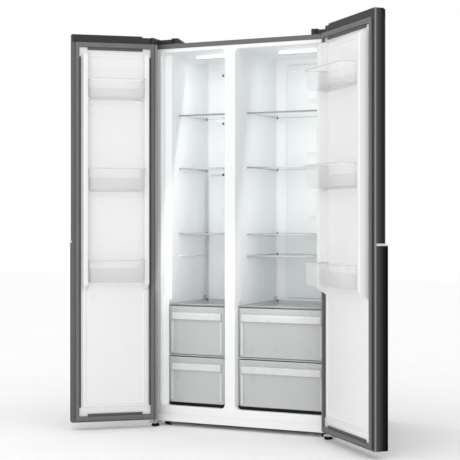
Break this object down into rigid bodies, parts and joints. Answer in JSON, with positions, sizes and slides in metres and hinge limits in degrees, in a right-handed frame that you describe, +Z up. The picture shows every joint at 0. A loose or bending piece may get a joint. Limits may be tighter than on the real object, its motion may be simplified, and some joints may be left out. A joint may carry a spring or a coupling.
{
  "type": "side by side refrigerator",
  "caption": "Side by side refrigerator, doors open: narrow freezer and wide fridge compartments with glass shelves, pull-out drawers, door bins, hinges, levelling feet and rollers.",
  "frame": {"origin": "on the floor, under the middle of the bounding box with both doors open as at rest", "axes": "+X to the right seen from the front, +Y from the doors to the back, +Z up"},
  "size_m": [1.5494, 1.0092, 1.785],
  "materials": {
    "dark_steel": "dark brushed",
    "grey_steel": "satin",
    "white_steel": "gloss",
    "zinc_steel": "satin",
    "white_liner": "satin",
    "foam": "matte",
    "dark_plastic": "matte",
    "black_plastic": "matte",
    "grey_rubber": "matte",
    "clear_glass": "clear",
    "clear_plastic": "translucent",
    "lamp_lens": "gloss",
    "compressor_black": "satin",
    "fin_aluminium": "satin"
  },
  "bodies": {
    "cabinet": {"back_panel": "grey_steel", "base_pan": "zinc_steel", "bottom_hinge_left": "zinc_steel", "bottom_hinge_right": "zinc_steel", "cabinet_shell": "dark_steel", "compressor": "compressor_black", "condenser": "fin_aluminium", "crisper_cover": "clear_glass", "evaporator": "fin_aluminium", "freezer_drawer_cover": "clear_glass", "freezer_duct_cover": "white_liner", "freezer_lamp": "lamp_lens", "freezer_liner": "white_liner", "freezer_shelf_lower": "clear_glass", "freezer_shelf_middle": "clear_glass", "freezer_shelf_top": "clear_glass", "fridge_duct_cover": "white_liner", "fridge_lamp": "lamp_lens", "fridge_liner": "white_liner", "fridge_shelf_bottom": "clear_glass", "fridge_shelf_lower": "clear_glass", "fridge_shelf_middle": "clear_glass", "fridge_shelf_top": "clear_glass", "front_frame": "white_steel", "hinge_cover_left": "dark_plastic", "hinge_cover_right": "dark_plastic", "insulation_foam": "foam", "kick_plate": "white_steel", "machine_cover": "grey_steel", "top_hinge_left": "zinc_steel", "top_hinge_right": "zinc_steel"},
    "left_door": {"door_cap_left": "dark_plastic", "door_foam_left": "foam", "door_gasket_left": "grey_rubber", "door_liner_left": "white_liner", "door_skin_left": "dark_steel"},
    "left_bin_top": {"door_bin_left_top": "clear_plastic"},
    "left_bin_middle": {"door_bin_left_middle": "clear_plastic"},
    "left_bin_bottom": {"door_bin_left_bottom": "clear_plastic"},
    "right_door": {"door_cap_right": "dark_plastic", "door_foam_right": "foam", "door_gasket_right": "grey_rubber", "door_liner_right": "white_liner", "door_skin_right": "dark_steel"},
    "right_bin_top": {"door_bin_right_top": "clear_plastic"},
    "right_bin_middle": {"door_bin_right_middle": "clear_plastic"},
    "right_bin_bottom": {"door_bin_right_bottom": "clear_plastic"},
    "freezer_drawer_upper": {"freezer_drawer_upper": "clear_plastic"},
    "freezer_drawer_lower": {"freezer_drawer_lower": "clear_plastic"},
    "fridge_drawer_upper": {"fridge_drawer_upper": "clear_plastic"},
    "fridge_drawer_lower": {"fridge_drawer_lower": "clear_plastic"},
    "front_roller_left": {"front_roller_left": "black_plastic"},
    "front_roller_right": {"front_roller_right": "black_plastic"},
    "rear_roller_left": {"rear_roller_left": "black_plastic"},
    "rear_roller_right": {"rear_roller_right": "black_plastic"},
    "levelling_foot_left": {"levelling_foot_left": "black_plastic"},
    "levelling_foot_right": {"levelling_foot_right": "black_plastic"},
    "condenser_fan": {"condenser_fan": "black_plastic"},
    "evaporator_fan": {"evaporator_fan": "black_plastic"}
  },
  "joints": [
    {"name": "left_door_hinge", "type": "hinge", "parent": "cabinet", "child": "left_door", "pos_m": [-0.47044, -0.10738, 0.9], "axis": [0, 0, -1], "range_deg": [-139.7, 0]},
    {"name": "right_door_hinge", "type": "hinge", "parent": "cabinet", "child": "right_door", "pos_m": [0.40356, -0.10738, 0.9], "axis": [0, 0, 1], "range_deg": [-134.8, 0]},
    {"name": "freezer_drawer_upper_slide", "type": "slide", "parent": "cabinet", "child": "freezer_drawer_upper", "axis": [0, -1, 0], "range_m": [0, 0.3]},
    {"name": "freezer_drawer_lower_slide", "type": "slide", "parent": "cabinet", "child": "freezer_drawer_lower", "axis": [0, -1, 0], "range_m": [0, 0.22]},
    {"name": "fridge_drawer_upper_slide", "type": "slide", "parent": "cabinet", "child": "fridge_drawer_upper", "axis": [0, -1, 0], "range_m": [0, 0.3]},
    {"name": "fridge_drawer_lower_slide", "type": "slide", "parent": "cabinet", "child": "fridge_drawer_lower", "axis": [0, -1, 0], "range_m": [0, 0.22]},
    {"name": "left_bin_top_lift", "type": "slide", "parent": "left_door", "child": "left_bin_top", "axis": [0, 0, 1], "range_m": [0, 0.03]},
    {"name": "left_bin_middle_lift", "type": "slide", "parent": "left_door", "child": "left_bin_middle", "axis": [0, 0, 1], "range_m": [0, 0.03]},
    {"name": "left_bin_bottom_lift", "type": "slide", "parent": "left_door", "child": "left_bin_bottom", "axis": [0, 0, 1], "range_m": [0, 0.03]},
    {"name": "right_bin_top_lift", "type": "slide", "parent": "right_door", "child": "right_bin_top", "axis": [0, 0, 1], "range_m": [0, 0.03]},
    {"name": "right_bin_middle_lift", "type": "slide", "parent": "right_door", "child": "right_bin_middle", "axis": [0, 0, 1], "range_m": [0, 0.03]},
    {"name": "right_bin_bottom_lift", "type": "slide", "parent": "right_door", "child": "right_bin_bottom", "axis": [0, 0, 1], "range_m": [0, 0.03]},
    {"name": "front_roller_left_spin", "type": "hinge", "parent": "cabinet", "child": "front_roller_left", "pos_m": [-0.42044, -0.03939, 0.016], "axis": [1, 0, 0], "continuous": true},
    {"name": "front_roller_right_spin", "type": "hinge", "parent": "cabinet", "child": "front_roller_right", "pos_m": [0.35356, -0.03939, 0.016], "axis": [1, 0, 0], "continuous": true},
    {"name": "rear_roller_left_spin", "type": "hinge", "parent": "cabinet", "child": "rear_roller_left", "pos_m": [-0.42044, 0.46862, 0.016], "axis": [1, 0, 0], "continuous": true},
    {"name": "rear_roller_right_spin", "type": "hinge", "parent": "cabinet", "child": "rear_roller_right", "pos_m": [0.35356, 0.46862, 0.016], "axis": [1, 0, 0], "continuous": true},
    {"name": "levelling_foot_left_turn", "type": "hinge", "parent": "cabinet", "child": "levelling_foot_left", "pos_m": [-0.45844, -0.09738, 0], "axis": [0, 0, 1], "continuous": true},
    {"name": "levelling_foot_right_turn", "type": "hinge", "parent": "cabinet", "child": "levelling_foot_right", "pos_m": [0.39156, -0.09738, 0], "axis": [0, 0, 1], "continuous": true},
    {"name": "condenser_fan_spin", "type": "hinge", "parent": "cabinet", "child": "condenser_fan", "pos_m": [-0.14344, 0.38461, 0.1126], "axis": [1, 0, 0], "continuous": true},
    {"name": "evaporator_fan_spin", "type": "hinge", "parent": "cabinet", "child": "evaporator_fan", "pos_m": [-0.27094, 0.35112, 1.0834], "axis": [0, 1, 0], "continuous": true}
  ]
}
